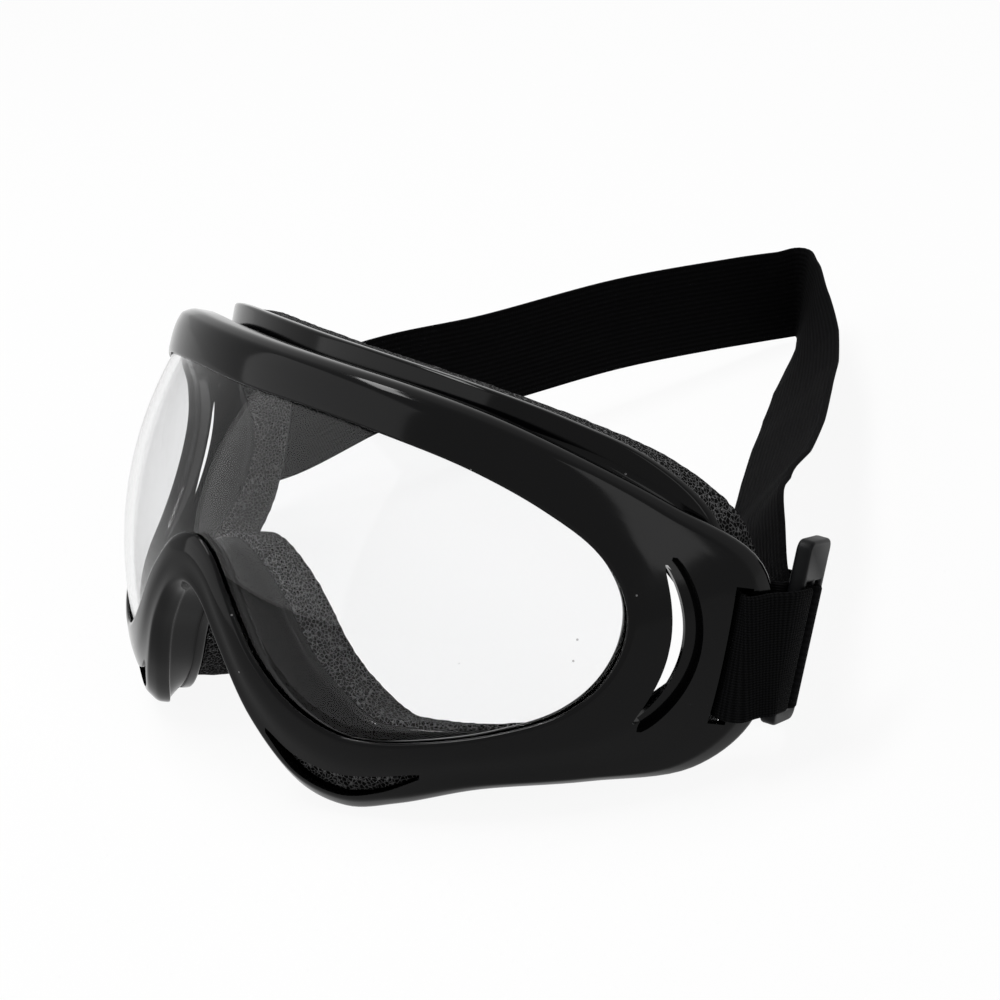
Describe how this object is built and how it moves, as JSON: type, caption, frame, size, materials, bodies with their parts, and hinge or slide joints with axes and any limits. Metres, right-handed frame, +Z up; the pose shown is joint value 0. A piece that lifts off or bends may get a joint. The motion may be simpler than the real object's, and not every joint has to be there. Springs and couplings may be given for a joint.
{
  "type": "sports protective goggles",
  "caption": "Wraparound sports goggles: moulded black frame, one-piece curved clear lens, face foam, vents, and a webbing head strap with a slider.",
  "frame": {"origin": "middle of the whole's footprint, on the surface it stands on", "axes": "+Z up, the lens faces -Y, the wearer's left side is +X"},
  "size_m": [0.1916, 0.2412, 0.0866],
  "materials": {
    "frame_rubber": "soft moulded rubber-like plastic with a clear gloss",
    "clear_lens": "clear polycarbonate, faint sheen",
    "foam": "open-cell black foam",
    "webbing": "woven elastic webbing",
    "slider_plastic": "moulded nylon, faint sheen"
  },
  "bodies": {
    "front": {"frame": "frame_rubber", "lens": "clear_lens", "face_foam": "foam", "vent_foam_left": "foam", "vent_foam_right": "foam", "strap_main": "webbing"},
    "loop": {"strap_loop_left": "webbing"},
    "slider": {"slider_left": "slider_plastic"}
  },
  "joints": [
    {"name": "loop_hinge", "type": "hinge", "parent": "front", "child": "loop", "pos_m": [0.08993, -0.04667, 0.02364], "axis": [0, 0.4067, 0.9135], "range_deg": [-10, 18], "stiffness_Nm_per_rad": 0.02, "deforming": ["strap_loop_left", "strap_main"]},
    {"name": "slider_pivot", "type": "hinge", "parent": "loop", "child": "slider", "pos_m": [0.09124, -0.03899, 0.02285], "axis": [0, 0.4067, 0.9135], "range_deg": [-12, 12], "stiffness_Nm_per_rad": 0.02, "deforming": ["strap_main"]}
  ]
}
